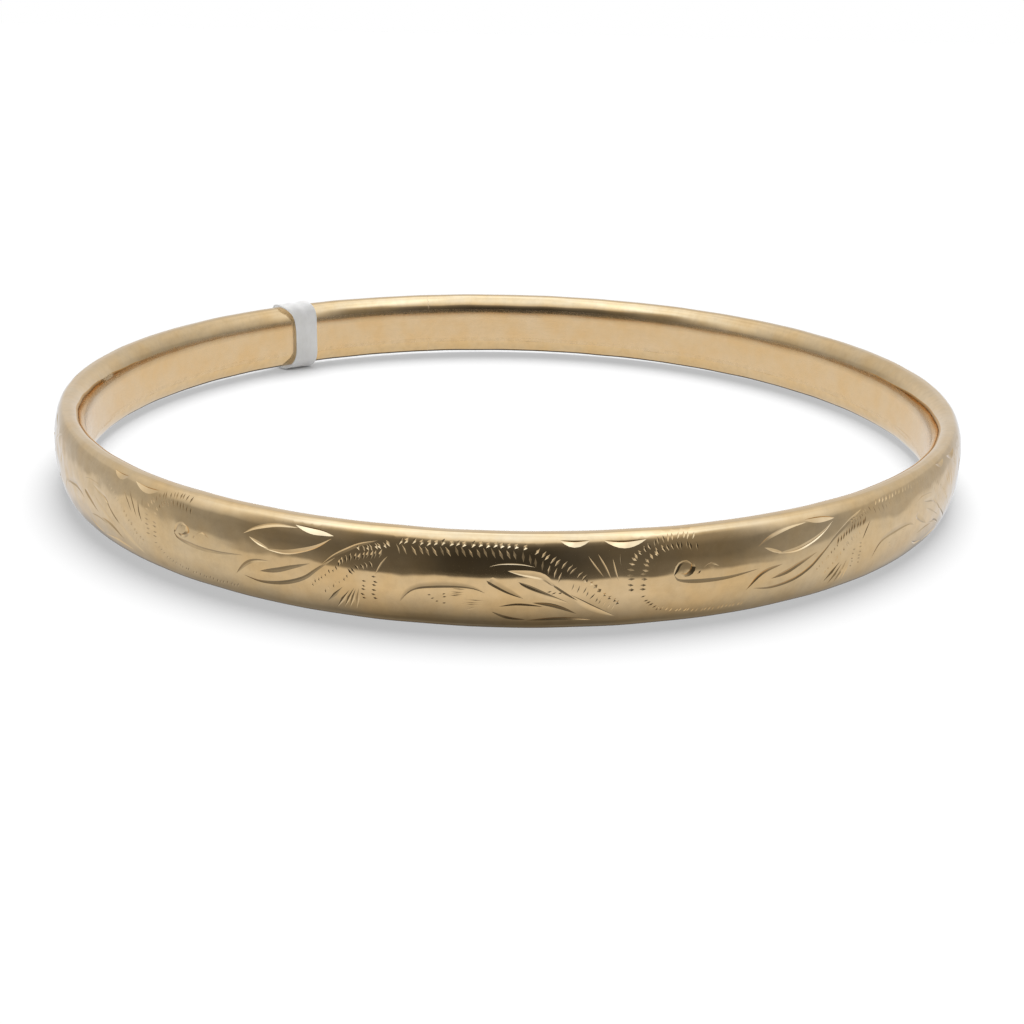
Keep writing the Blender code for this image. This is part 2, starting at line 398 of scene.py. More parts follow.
def top_fan():
    """A fan of fine strokes hanging under the facets."""
    return [
        cut([(7.6, 4.85), (8.2, 4.4), (9.1, 3.65)], 0.09),
        cut([(8.6, 4.92), (9.3, 4.2), (9.9, 3.45)], 0.10),
        cut([(10.1, 4.6), (10.4, 3.9), (10.8, 3.3)], 0.10),
        cut([(10.8, 4.9), (10.95, 4.2)], 0.08),
    ]


def arch_rope():
    """Two rows of ticks that rise and turn right under the upper edge, and a fine row below."""
    outer = [(11.9, 2.6), (11.8, 3.6), (11.9, 4.4), (12.7, 4.9), (13.9, 5.3)]
    inner = [(13.1, 2.6), (13.1, 3.7), (13.4, 4.4), (14.3, 4.85)]
    rows = ticks(outer, 0.30, 0.40, 85, 0.16) + ticks(inner, 0.29, 0.38, 85, 0.16)
    rows += ticks([(13.9, 5.35), (16, 5.66), (18.3, 5.6)], 0.29, 0.46, 78, 0.15)
    rows += ticks([(14.2, 4.9), (16, 5.18), (18.4, 5.02)], 0.29, 0.50, 102, 0.15)
    lower = [(12.9, 2.4), (13.6, 1.95), (14.6, 1.55), (16, 1.3), (18.5, 1.12), (21, 1.02), (24.2, 1.08)]
    return rows + ticks(lower, 0.27, 0.34, 66, 0.10)


def curl():
    """A long stroke that ends in a round curl, with two small marks beside it."""
    return [
        cut([(18.0, 3.98), (17.4, 4.15), (16.75, 4.02), (16.4, 3.7), (16.2, 3.4)], 0.26, 0.0, 0.75, 0.38),
        cut([(16.1, 3.52), (16.5, 3.2), (17.6, 3.03), (19.5, 2.94), (22, 2.98), (25.3, 3.2)],
            0.25, 0.0, 0.3, 0.4),
        cut([(17.8, 4.12), (17.95, 3.85), (17.75, 3.58), (17.2, 3.42), (16.65, 3.5)], 0.34, 0.3, 0.3, 0.45),
        cut([(18.5, 3.42), (18.95, 3.6)], 0.17),
        cut([(19.2, 3.72), (20.0, 3.95), (20.9, 3.7)], 0.13),
    ]


MOTIFS = (leaf_eye, scroll_strokes, bottom_fan, tick_rows_beside_scroll, long_rope, arc_leaf, big_leaf,
          top_facets, top_fan, arch_rope, curl)


def varied(points, start):
    """A motif's points, moved to their repeat and put down a little unevenly, as by hand. In metres."""
    shift = np.array([chance.uniform(-slip, slip) for slip in MOTIF_SLIP_MM])
    placed = []
    for degrees, height in points:
        arc = (start + math.radians(degrees)) * OUTER_RADIUS / MM
        wobble = np.array([chance.uniform(-POINT_SLIP_MM, POINT_SLIP_MM) for _ in range(2)])
        placed.append(np.array([arc, height - MIDDLE_HEIGHT_MM + SHELL_MIDDLE_MM]) + shift + wobble)
    return np.array(placed) * MM


def unworn(azimuth):
    """How much of the finest cuts' depth is left. The ring is rubbed most on its left side."""
    return 1 - sum(loss * math.exp(-((math.degrees(azimuth) - place) / spread) ** 2)
                   for place, spread, loss in WORN_PLACES)


def walled(drawn, keel, width):
    """A cut as it lies on the ring: its keel, with each wall's width and the depth at the keel's points."""
    run = arc_lengths(keel)
    left_over = unworn(keel[:, 0].mean() / OUTER_RADIUS) if run[-1] < FINE_CUT else 1
    shape = swell(run / run[-1], drawn["peak"]) * width * (WORN_WIDTH + (1 - WORN_WIDTH) * left_over)
    left = shape * (0.5 + 0.4 * drawn["lean"])  # from a tenth of the width to nine tenths
    right = shape - left
    depth = drawn["slope"] * np.maximum(left, right) * left_over
    hollow = (drawn["scoop"], 1.0) if drawn["lean"] > 0 else (1.0, drawn["scoop"])
    return {"keel": keel, "left": left, "right": right, "depth": depth, "hollow": hollow}


def shell_ends():
    """Where the shell's strip starts and ends along the band, on either side of its joint."""
    end = SHELL_JOINT_AZIMUTH * OUTER_RADIUS
    return end - CIRCUMFERENCE + JOINT_HALF_WIDTH, end - JOINT_HALF_WIDTH


def placed_cuts():
    """Every cut on the ring. One repeat more than fit is drawn, and what passes the joint is left out."""
    first, last = shell_ends()
    cuts = []
    for repeat in range(REPEATS + 1):
        start = (FIRST_REPEAT + repeat) * PERIOD
        for motif in MOTIFS:
            for drawn in motif():
                keel = smooth_line(varied(drawn["points"], start), KEEL_STEP)
                width = drawn["width"] * MM * chance.uniform(*CUT_WIDTHS)
                if keel[:, 0].min() >= first + JOINT_MARGIN and keel[:, 0].max() <= last - JOINT_MARGIN:
                    cuts.append(walled(drawn, keel, width))
    return cuts


# ---------------- the engraved surface

WIDE_WALL = 0.13 * MM  # a wall this wide or wider gets rows of its own
WALL_ROWS = (1.0, 0.66, 0.33)  # their distances from the keel, as shares of the wall's width
NO_WALL = 1e-9  # stands for a width of nothing, which can't be divided by
CUT_MARGIN = 0.07 * MM  # how far the grid's own points keep from a cut
MERGE_DISTANCE_MM = 3e-4
ALL_TRIANGLES = 0  # the triangulation's output type that fills the whole strip
CUT_EDGE_ANGLE = math.radians(16)
PLAIN_DEPTH = 0.0005 * MM  # metal cut less deep than this counts as smooth


def sideways(keel):
    """The way to the left of a line, at each of its points."""
    tangent = unit(np.gradient(keel, axis=0))
    return np.stack([-tangent[:, 1], tangent[:, 0]], 1)


def nearest_on_keel(spots, keel):
    """The keel's piece nearest to each spot, the share of it passed there, and the way on to the spot."""
    start, run = keel[:-1], keel[1:] - keel[:-1]
    share = np.clip(((spots[:, None] - start) * run).sum(2) / (run ** 2).sum(1), 0, 1)
    off = spots[:, None] - (start + share[..., None] * run)
    piece = np.hypot(off[..., 0], off[..., 1]).argmin(1)
    row = np.arange(len(spots))
    return piece, share[row, piece], off[row, piece]


def depth_of_cut(c, spots):
    """One cut's depth at flat points."""
    piece, share, off = nearest_on_keel(spots, c["keel"])
    run = c["keel"][piece + 1] - c["keel"][piece]
    on_left = run[:, 0] * off[:, 1] - run[:, 1] * off[:, 0] > 0

    def here(values):
        return values[piece] * (1 - share) + values[piece + 1] * share

    wall = np.maximum(np.where(on_left, here(c["left"]), here(c["right"])), NO_WALL)
    fall = np.clip(1 - np.hypot(off[:, 0], off[:, 1]) / wall, 0, 1)
    return here(c["depth"]) * fall ** np.where(on_left, *c["hollow"])


def depth_at(points, cuts):
    """The depth of the ornament at flat points. Where cuts cross, the deeper one counts."""
    order = np.argsort(points[:, 0])
    xs = points[order, 0]
    result = np.zeros(len(points))
    for c in cuts:
        reach = max(c["left"].max(), c["right"].max())
        low, high = c["keel"].min(0) - reach, c["keel"].max(0) + reach
        near = order[np.searchsorted(xs, low[0]):np.searchsorted(xs, high[0])]
        near = near[(points[near, 1] > low[1]) & (points[near, 1] < high[1])]
        if len(near):
            result[near] = np.maximum(result[near], depth_of_cut(c, points[near]))
    return result


def widened(c):
    """A cut with a margin round it, and the same depth all along, to find what is near it."""
    return dict(c, left=c["left"] + CUT_MARGIN, right=c["right"] + CUT_MARGIN, depth=np.ones(len(c["depth"])))


def wall_rows(c):
    """Lines of points beside a cut's keel: each wall's outer edge, and rows inside the wide walls."""
    across = sideways(c["keel"])
    return [(c["keel"] + across * sign * share * wall[:, None])[1:-1]
            for sign, wall in ((1, c["left"]), (-1, c["right"]))
            for share in (WALL_ROWS if wall.max() >= WIDE_WALL else WALL_ROWS[:1])]


def once_round(grid):
    """The points on a grid's border, once round from its first corner."""
    return np.concatenate([grid[:, 0], grid[-1, 1:], grid[-2::-1, -1], grid[0, -2:0:-1]])


def flat_mesh(grid, cuts):
    """A triangulation of the shell's flat strip that follows both walls and the keel of every cut.

    Also gives the numbers of the vertices round its border, in the same order as once_round does.
    """
    inside = grid[1:-1, 1:-1].reshape(-1, 2)
    inside = inside[depth_at(inside, [widened(c) for c in cuts]) == 0]
    border = once_round(grid)
    points = [border, inside]
    edges = [(i, (i + 1) % len(border)) for i in range(len(border))]
    total = len(border) + len(inside)
    for c in cuts:
        rows = wall_rows(c)
        first, last = total, total + len(c["keel"]) - 1
        total = last + 1
        lines = [range(first, total)]
        for row in rows:
            lines.append([first, *range(total, total + len(row)), last])
            total += len(row)
        edges += [edge for line in lines for edge in zip(line, line[1:])]
        points += [c["keel"], *rows]
    given = [Vector(point) for point in np.vstack(points) / MM]
    flat, _, faces, origins, _, _ = delaunay_2d_cdt(given, edges, [], ALL_TRIANGLES, MERGE_DISTANCE_MM)
    place = {old: new for new, group in enumerate(origins) for old in group}
    return np.array([v[:] for v in flat]) * MM, np.array(faces), [place[i] for i in range(len(border))]


def lay_on_band(section, x, p, outwards):
    """Points of a strip, raised from its section by outwards."""
    r, z, nr, nz = section.at(p)
    r, z = r + nr * outwards, z + nz * outwards
    turn = x / OUTER_RADIUS
    return np.stack([r * np.sin(turn), -r * np.cos(turn), z], -1)


def face_normals(section, x, p, height):
    """The true normals of an uneven strip, from the slope of height(x, p)."""
    reach = 0.02 * MM
    along = (height(x + reach, p) - height(x - reach, p)) / (2 * reach)
    up = (height(x, p + reach) - height(x, p - reach)) / (2 * reach)
    _, _, nr, nz = section.at(p)
    turn = x / OUTER_RADIUS
    level = np.zeros_like(turn)
    from_axis = np.stack([np.sin(turn), -np.cos(turn), level], -1)
    round_ring = np.stack([np.cos(turn), np.sin(turn), level], -1)
    axis = np.array([0, 0, 1.0])
    smooth = from_axis * nr[:, None] + axis * nz[:, None]
    rise = -from_axis * nz[:, None] + axis * nr[:, None]
    return unit(smooth - round_ring * along[:, None] - rise * up[:, None])


def new_object(name, data):
    obj = bpy.data.objects.new(name, data)
    bpy.context.scene.collection.objects.link(obj)
    return obj


def add_piece(name, verts, faces, mat, body, replaced):
    mesh = bpy.data.meshes.new(name)
    mesh.from_pydata([tuple(v) for v in verts], [], [tuple(f) for f in faces])
    mesh.materials.append(mat)
    mesh.shade_smooth()
    obj = new_object(name, mesh)
    obj.visible_diffuse = body == "tag"  # the paper takes no brown tint from the gold
    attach(obj, body)
    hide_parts(replaced)
    return obj


def set_normals(mesh, loops, normals):
    """Sharpens the edges of the cuts, then gives the smooth metal between them its true normals."""
    mesh.set_sharp_from_angle(angle=CUT_EDGE_ANGLE)
    corners = np.zeros(len(mesh.loops) * 3, np.float32)
    mesh.corner_normals.foreach_get("vector", corners)
    corners = corners.reshape(-1, 3)
    corners[loops] = normals
    mesh.normals_split_custom_set(corners.tolist())


def make_shell(mat):
    """The engraved outer face, a plain grid behind it, and a rim of faces that joins their borders."""
    first, last = shell_ends()
    columns = np.linspace(first, last, round((last - first) / COLUMN_STEP) + 1)
    grid = np.stack(np.meshgrid(columns, SHELL.rows(), indexing="ij"), -1)
    cuts = placed_cuts()
    flat, faces, border = flat_mesh(grid, cuts)
    depth = depth_at(flat, cuts)
    outer = lay_on_band(SHELL, flat[:, 0], flat[:, 1], unevenness(flat[:, 0], flat[:, 1]) - depth)
    inner = lay_on_band(SHELL, grid[..., 0].ravel(), grid[..., 1].ravel(), -SHEET)

    index = len(outer) + np.arange(len(inner)).reshape(grid.shape[:2])
    back = zip(index[:-1, :-1].flat, index[:-1, 1:].flat, index[1:, 1:].flat, index[1:, :-1].flat)
    ring = once_round(index)
    rim = zip(border, ring, np.roll(ring, -1), np.roll(border, -1))
    obj = add_piece("engraved_shell", np.vstack([outer, inner]), [*faces, *back, *rim], mat, "bangle",
                    "outer_shell")

    plain = depth[faces].max(1) < PLAIN_DEPTH
    loops = np.arange(faces.size).reshape(faces.shape)[plain].ravel()
    at = flat[faces[plain].ravel()]
    set_normals(obj.data, loops, face_normals(SHELL, at[:, 0], at[:, 1], unevenness))


# ---------------- the plain turned pieces

TURNED_EDGE_ANGLE = math.radians(40)


def sheet_faces(columns, rows, closed):
    """The faces of a sheet: a grid of outer vertices, the same of inner ones, and the faces at its edges."""
    outer = np.arange(columns * rows).reshape(columns, rows)
    inner = outer + columns * rows
    faces = []
    for i in range(columns if closed else columns - 1):
        k = (i + 1) % columns
        for j in range(rows - 1):
            faces.append((outer[i, j], outer[k, j], outer[k, j + 1], outer[i, j + 1]))
            faces.append((inner[i, j], inner[i, j + 1], inner[k, j + 1], inner[k, j]))
        faces.append((outer[i, 0], inner[i, 0], inner[k, 0], outer[k, 0]))
        faces.append((outer[i, -1], outer[k, -1], inner[k, -1], inner[i, -1]))
    if not closed:
        for j in range(rows - 1):
            faces.append((outer[0, j], outer[0, j + 1], inner[0, j + 1], inner[0, j]))
            faces.append((outer[-1, j], inner[-1, j], inner[-1, j + 1], outer[-1, j + 1]))
    return faces


def ripples(amount, *waves):
    """The height of an uneven surface made of a few waves."""
    def height(x, p):
        return wave_sum(waves, x, p) * amount / len(waves)
    return height


def around(turns):
    """A number of whole turns round the ring, as turns per mm along its outside."""
    return turns * MM / CIRCUMFERENCE


def turned_piece(name, section, first, last, thickness, height, mat,
                 step=COLUMN_STEP, row_step=ROW_STEP):
    """A strip of metal bent round the ring from first to last, and closed where that is all the way."""
    closed = last - first >= CIRCUMFERENCE
    count = round((last - first) / step)
    columns = np.linspace(first, last, count + 1)[:count if closed else None]
    rows = section.rows(row_step)
    x, p = [values.ravel() for values in np.meshgrid(columns, rows, indexing="ij")]
    outer = lay_on_band(section, x, p, height(x, p))
    inner = lay_on_band(section, x, p, -thickness)
    faces = sheet_faces(len(columns), len(rows), closed)
    obj = add_piece(name + "_skin", np.vstack([outer, inner]), faces, mat, "bangle", name)
    obj.data.set_sharp_from_angle(angle=TURNED_EDGE_ANGLE)


def make_liner(mat):
    start = LINER_JOINT_AZIMUTH * OUTER_RADIUS
    waves = ripples(0.012 * MM, (around(13), 0.12, 0.4), (around(31), -0.2, 1.9), (around(21), 0.31, 3.3))
    turned_piece("inner_liner", LINER, start + JOINT_HALF_WIDTH, start + CIRCUMFERENCE - JOINT_HALF_WIDTH,
                 SHEET, waves, mat)


def make_edge_solders(mat):
    waves = ripples(0.003 * MM, (around(131), 0.9, 0.4), (around(277), -1.2, 1.9), (around(83), 2.1, 3.3))
    for name, side in (("upper_edge_solder", 1), ("lower_edge_solder", -1)):
        turned_piece(name, solder_section(side), 0, CIRCUMFERENCE, SOLDER_THICKNESS, waves, mat,
                     step=0.4 * MM, row_step=0.05 * MM)


def make_joint_solders(mat):
    waves = ripples(0.012 * MM, (3.1, 0.7, 0.4), (1.7, -1.3, 1.9), (5.2, 2.3, 3.3))
    for name, section, azimuth in (("shell_joint_solder", SHELL, SHELL_JOINT_AZIMUTH),
                                   ("liner_joint_solder", LINER, LINER_JOINT_AZIMUTH)):
        middle = azimuth * OUTER_RADIUS
        turned_piece(name, section, middle - JOINT_HALF_WIDTH, middle + JOINT_HALF_WIDTH, SHEET, waves, mat,
                     step=0.03 * MM, row_step=0.08 * MM)


# ---------------- the tag's strap

TAG_LOW, TAG_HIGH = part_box("tag_loop")
TAG_AZIMUTH = math.radians(218.4)
TAG_SQUARENESS = 3.0  # exponent of the loop's superellipse
TAG_CLEARANCE_OUTSIDE = 0.2 * MM
TAG_CLEARANCE_INSIDE = 0.3 * MM
TAG_EDGE_ANGLE = math.radians(50)
FILM = 0.14 * MM  # the strap's thickness
LOOP_STEPS = 220  # once round the band
LAP_STEPS = 34  # beyond that, where the strap lies over its own start
CLIMB_STEPS = 12  # in which it climbs on to its start
STRAP_ROWS = 25
LAP_LIFT = 1.25  # of the film's thickness
HALF_WIDTHS_MM = (1.08, 0.16, 0.34, 0.2)  # inside the band, then what it gains underneath, on top and outside
SHIFTS_MM = (0.85, 0.26)  # along the band: on the outside, then on top and underneath
WAVER_MM = 0.05  # sideways, along the strap's length
EDGE_CURL_MM = 0.05
# Each crease has a place across the strap, from -1 to 1, a width on that scale, and a height in mm.
CREASES = ((-0.72, 0.12, 0.05), (-0.28, 0.10, -0.045), (0.12, 0.16, 0.04), (0.55, 0.09, -0.04))


def strap_line():
    """The strap's middle line round the band's section, as radius and height, and the way that faces out."""
    inside, outside = INNER_RADIUS - TAG_CLEARANCE_INSIDE, OUTER_RADIUS + TAG_CLEARANCE_OUTSIDE
    half_height = (TAG_HIGH.z - TAG_LOW.z) / 2 - FILM
    angle = np.linspace(0, 2 * math.pi, LOOP_STEPS, endpoint=False)

    def squared(values):
        return np.sign(values) * np.abs(values) ** (2 / TAG_SQUARENESS)

    radius = (inside + outside) / 2 + (outside - inside) / 2 * squared(np.cos(angle))
    line = np.stack([radius, MIDDLE_Z + half_height * squared(np.sin(angle))], 1)
    tangent = unit(np.roll(line, -1, 0) - np.roll(line, 1, 0))
    return line, np.stack([tangent[:, 1], -tangent[:, 0]], 1)


def strap_outline(turn):
    """Half the strap's width, and how far its middle is pushed along the band, at each part of a turn."""
    outer_side = 0.5 + 0.5 * np.cos(2 * math.pi * turn)  # 1 on the outside of the band, 0 on the inside
    height = np.sin(2 * math.pi * turn)  # from -1 under the band to 1 on top
    inside, underneath, on_top, outside = HALF_WIDTHS_MM
    half_width = (inside + underneath * np.clip(-height, 0, 1) ** 2 + on_top * np.clip(height, 0, 1) ** 2
                  + outside * outer_side)
    shift = SHIFTS_MM[0] * outer_side + SHIFTS_MM[1] * height ** 2
    return half_width * MM, shift * MM


def strap_bulge(turn, across):
    """How far the creases and the curled edges stand out, more on one side of the loop than the other."""
    crease = sum(height * np.exp(-((across - place) / width) ** 2) for place, width, height in CREASES)
    crease = crease + EDGE_CURL_MM * np.abs(across) ** 3
    wander = 0.0042 * np.sin(4 * math.pi * turn + 2.2 * across)
    return (crease * (0.75 + 0.6 * np.sin(2 * math.pi * turn + 1.1)) + wander) * MM


def make_strap(mat):
    """A soft strip wrapped once round the band and lapped over itself on the outside."""
    line, out = strap_line()
    steps = np.arange(LOOP_STEPS + LAP_STEPS) - LAP_STEPS // 2
    turn, across = (steps / LOOP_STEPS)[:, None], np.linspace(-1, 1, STRAP_ROWS)
    climb_start = LOOP_STEPS - LAP_STEPS // 2 - CLIMB_STEPS
    lift = np.clip((steps - climb_start) / CLIMB_STEPS, 0, 1)[:, None] * FILM * LAP_LIFT
    half_width, shift = strap_outline(turn)
    along = shift + across * half_width + WAVER_MM * MM * np.sin(9 * math.pi * turn)
    layers = []
    for face in (1, -1):
        height = lift + strap_bulge(turn, across) + face * FILM / 2
        at = line[steps % LOOP_STEPS][:, None] + out[steps % LOOP_STEPS][:, None] * height[..., None]
        radius, angle = at[..., 0], TAG_AZIMUTH + along / at[..., 0]
        z = np.maximum(at[..., 1], TAG_LOW.z)
        layers.append(np.stack([radius * np.sin(angle), -radius * np.cos(angle), z], -1).reshape(-1, 3))
    faces = [(a, d, c, b) for a, b, c, d in sheet_faces(len(steps), STRAP_ROWS, False)]
    obj = add_piece("tag_strap", np.vstack(layers), faces, mat, "tag", "tag_loop")
    obj.data.set_sharp_from_angle(angle=TAG_EDGE_ANGLE)


# ---------------- materials

class Shading:
    """The node tree of a material or a world, with short ways to add and join its nodes."""

    def __init__(self, owner):
        owner.use_nodes = True
        self.owner = owner
        self.tree = owner.node_tree
        self.surface = self.tree.nodes.get("Principled BSDF")

    def feed(self, socket, value):
        if isinstance(value, bpy.types.NodeSocket):
            self.tree.links.new(value, socket)
        else:
            socket.default_value = value

    def node(self, kind, *values, settings=None, **named_values):
        """A new node. Values go to its first sockets in turn, and named values to the sockets they name."""
        made = self.tree.nodes.new("ShaderNode" + kind)
        for key, value in (settings or {}).items():
            setattr(made, key, value)
        for socket, value in zip(made.inputs, values):
            self.feed(socket, value)
        for name, value in named_values.items():
            self.feed(made.inputs[name], value)
        return made

    def set_surface(self, values):
        for name, value in values.items():
            self.feed(self.surface.inputs[name], value)

    def maths(self, operation, a, b=0.0, c=0.0):
        return self.node("Math", a, b, c, settings={"operation": operation}).outputs[0]

    def map_range(self, value, limits, results=(0.0, 1.0), kind="LINEAR"):
        made = self.node("MapRange", value, *limits, *results, settings={"interpolation_type": kind})
        return made.outputs[0]

    def ramp(self, factor, *stops):
        made = self.node("ValToRGB", factor)
        elements = made.color_ramp.elements
        while len(elements) < len(stops):
            elements.new(0.5)
        for element, (place, colour) in zip(elements, stops):
            element.position = place
            element.color = colour if len(colour) == 4 else (*colour, 1)
        return made.outputs[0]

    def mix(self, factor, a, b, blend="MIX"):
        made = self.node("Mix", factor, settings={"data_type": "RGBA", "blend_type": blend})
        self.feed(made.inputs[6], a)  # the two colours are at 6 and 7, after those of the other data types
        self.feed(made.inputs[7], b)
        return made.outputs[2]

    def noise(self, vector, scale, detail=3.0, roughness=0.55):
        made = self.node("TexNoise", Vector=vector, Scale=scale, Detail=detail, Roughness=roughness)
        return made.outputs[0]

    def stretched(self, vector, x, y, z):
        return self.node("Mapping", Vector=vector, Scale=(x, y, z)).outputs[0]

    def ring_coordinates(self):
        """Distance round the ring, height, and radius, in mm, from the object's own coordinates."""
        x, y, z = self.node("SeparateXYZ", self.node("TexCoord").outputs["Object"]).outputs
        level = self.node("CombineXYZ", x, y).outputs[0]
        radius = self.node("VectorMath", level, settings={"operation": "LENGTH"}).outputs["Value"]
        angle = self.maths("ARCTAN2", y, x)
        return self.node("CombineXYZ", self.maths("MULTIPLY", angle, OUTER_RADIUS / MM),
                         self.maths("MULTIPLY", z, 1 / MM), self.maths("MULTIPLY", radius, 1 / MM)).outputs[0]


def grey(value):
    return (value, value, value, 1)


def painted_reflection_and_shade(s, place):
    """Painted shade inside the ring: a painted dark reflection by the upper seam and painted shade low down,
    white elsewhere.
    """
    _, height, radius = s.node("SeparateXYZ", place).outputs
    unsteady = s.maths("MULTIPLY", s.noise(s.stretched(place, 0.3, 1.0, 1), 1.0, 2), 0.3)
    share_of_cm = s.maths("DIVIDE", s.maths("ADD", height, unsteady), 10)
    # painted dark reflection from 4 to 5.7 mm up and painted shade below 1.7 mm, with heights given as shares
    # of a cm
    painted_darkening = s.ramp(share_of_cm, (0.08, grey(0.86)), (0.17, grey(1)), (0.4, grey(1)), (0.43, grey(0.86)),
                  (0.455, grey(0.68)), (0.48, grey(0.68)), (0.52, grey(0.85)), (0.57, grey(1)))
    inside = s.ramp(s.maths("DIVIDE", radius, 100), (0.32, grey(1)), (0.324, grey(0)))  # within 32 mm
    return s.mix(inside, grey(1), painted_darkening)


def gold_tone(s, place, colour, stain):
    """The metal's colour, with warmer and paler patches, a blotchy film, and painted dark reflection and
    shade inside the ring.
    """
    warm = tuple(c * f for c, f in zip(colour, (1.0, 0.955, 0.87)))
    pale = tuple(min(1, c * f) for c, f in zip(colour, (1.0, 1.03, 1.10)))
    tone = s.ramp(s.noise(place, 0.35, 4), (0.34, warm), (0.52, colour), (0.70, pale))
    film = s.ramp(s.noise(place, 1.7, 5, 0.65), (0.42, grey(1)), (0.72, grey(1 - stain)))
    # the last multiply paints a dark reflection and shade on to the inside of the ring
    return s.mix(1.0, s.mix(1.0, tone, film, "MULTIPLY"), painted_reflection_and_shade(s, place), "MULTIPLY")


def gold(name, colour, roughness, scratch, stain):
    """Worn 9 ct gold, with hairlines along the band and the mottling of handling."""
    s = Shading(bpy.data.materials.new(name))
    place = s.ring_coordinates()
    hairlines = s.noise(s.stretched(place, 0.35, 14, 14), 1.0, 4, 0.7)
    handling = s.noise(s.stretched(place, 2.4, 3.6, 3.0), 1.0, 5, 0.75)
    wear = s.maths("MULTIPLY_ADD", hairlines, 0.5, s.maths("MULTIPLY", handling, 0.5))
    bump = s.node("Bump", Strength=scratch, Distance=0.0005 * MM, Height=wear)
    s.set_surface({
        "Base Color": gold_tone(s, place, colour, stain),
        "Metallic": 1.0,
        "Roughness": s.map_range(wear, (0.35, 0.68), (roughness * 0.75, roughness * 1.35)),
        "Normal": bump.outputs[0],
    })
    return s.owner


def white_strap():
    """A thin white film with a fibrous look, which lets a little light through."""
    s = Shading(bpy.data.materials.new("white_strap_film"))
    place = s.node("TexCoord").outputs["Object"]
    fibres = s.noise(s.stretched(place, 900, 900, 260), 1.0, 5, 0.7)
    cloud = s.noise(s.stretched(place, 420, 420, 420), 1.0, 3)
    tone = s.ramp(cloud, (0.35, (0.80, 0.785, 0.755)), (0.6, (0.87, 0.86, 0.845)),
                  (0.8, (0.90, 0.895, 0.885)))
    streaks = s.ramp(fibres, (0.35, grey(0.91)), (0.65, grey(1)))
    bump = s.node("Bump", Strength=0.25, Distance=0.02 * MM, Height=fibres)
    s.set_surface({
        "Base Color": s.mix(1.0, tone, streaks, "MULTIPLY"),
        "Roughness": 0.5,
        "Normal": bump.outputs[0],
        "Subsurface Weight": 0.2,
        "Subsurface Radius": (0.5 * MM, 0.5 * MM, 0.45 * MM),
        "Subsurface Scale": 1.0,
    })
    return s.owner


# ---------------- camera, light and floor

# The camera, fitted to the ring's outline in the photo. Turns are in degrees.
SENSOR_MM = 36
LENS_MM = 46.98
CAMERA_PAN = -0.243
CAMERA_TILT = -20.454  # from level
CAMERA_ROLL = 1.339
CAMERA_PLACE = (0, -99.79 * MM, MIDDLE_Z + 29.07 * MM)

PAPER = 1.0  # the brightness of the white surround
FLOOR_HALF_SIZE = 3.0
TABLE_RADIUS = RIM_RADIUS - 0.5 * MM  # of the lit table inside the ring
TABLE_CORNERS = 96
TABLE_RAISED = 0.02 * MM
TABLE_LIGHT = 0.8
COOLNESS = (-0.13, 0.03, 0.30)  # how much the red, green and blue of the coolest light differ from grey
COOL_FROM, COOL_FULL = 0.75, 1.35  # light of this brightness starts to be cool, and is fully cool
SIDES_FROM = 60  # degrees from the front
SIDE_COOLNESS = 0.28  # the least share of it at the sides

# The studio as polished metal sees it: brightness at each elevation, for azimuths on both sides of the front,
# all in degrees. It has a table that is dark near the ring, a dark room over it, and a bright sky.
TABLE_VIEW = ((-80, .12), (-70, .13), (-60, .20), (-50, .36), (-40, .55), (-30, .74))
SKY_VIEW = ((36, .9), (45, 1.15), (55, 1.3), (85, 1.2))
VIEWS = (
    (9, (*TABLE_VIEW, (-18.5, .74), (-17, .12), (-14, .055), (0, .042), (10, .052), (20, .08), (26, .16),
         (30, .28), *SKY_VIEW)),
    (27, (*TABLE_VIEW, (-18.5, .72), (-16.5, .17), (-12, .13), (0, .115), (10, .12), (20, .14), (26, .19),
          (30, .29), *SKY_VIEW)),
    (50, ((-80, .12), (-70, .14), (-60, .25), (-50, .38), (-40, .6), (-30, .70), (-19, .64), (-17, .28),
          (-5, .17), (5, .18), (15, .27), (27, .33), (36, .6), (44, 1.4), (52, 1.75), (70, 1.6), (85, 1.2))),
    (75, ((-80, .14), (-68, .17), (-60, .24), (-50, .38), (-40, .56), (-30, .70), (-20, .66), (-14, .60),
          (-11, .38), (0, .33), (7, .36), (11, .6), (18, .82), (27, 1.0), (36, 1.15), (55, 1.15), (66, 1.5),
          (85, 1.4))),
    (95, ((-80, .16), (-68, .2), (-60, .24), (-50, .34), (-40, .52), (-30, .68), (-20, .74), (-12, .70),
          (-9, .52), (0, .48), (9, .51), (13, .64), (22, .72), (32, .82), (42, .92), (55, 1.05), (70, 1.4),
          (85, 1.35))),
    (125, ((-80, .2), (-68, .22), (-60, .24), (-50, .3), (-40, .43), (-30, .60), (-21, .78), (-13, .74),
           (-9, .54), (0, .52), (9, .55), (13, .64), (22, .66), (32, .69), (44, .76), (60, .9), (70, 1.25),
           (85, 1.3))),
    (160, ((-80, .14), (-60, .15), (-40, .15), (-28, .2), (-20, .78), (-10, .82), (0, .82), (10, .78),
           (20, .72), (30, .68), (40, .72), (50, .85), (60, 1.1), (70, 1.5), (85, 1.4))),
)


def make_camera():
    camera = bpy.data.cameras.new("camera")
    camera.sensor_width = SENSOR_MM
    camera.lens = LENS_MM
    camera.clip_start = 5 * MM
    obj = new_object("camera", camera)
    place = Matrix.Translation(CAMERA_PLACE)
    for degrees, axis in ((CAMERA_PAN, "Z"), (90 + CAMERA_TILT, "X"), (CAMERA_ROLL, "Z")):
        place = place @ Matrix.Rotation(math.radians(degrees), 4, axis)
    obj.matrix_world = place
    bpy.context.scene.camera = obj


def height_share(elevation):
    """An elevation in degrees, as a share of the way from straight down to straight up."""
    return (elevation + 90) / 180


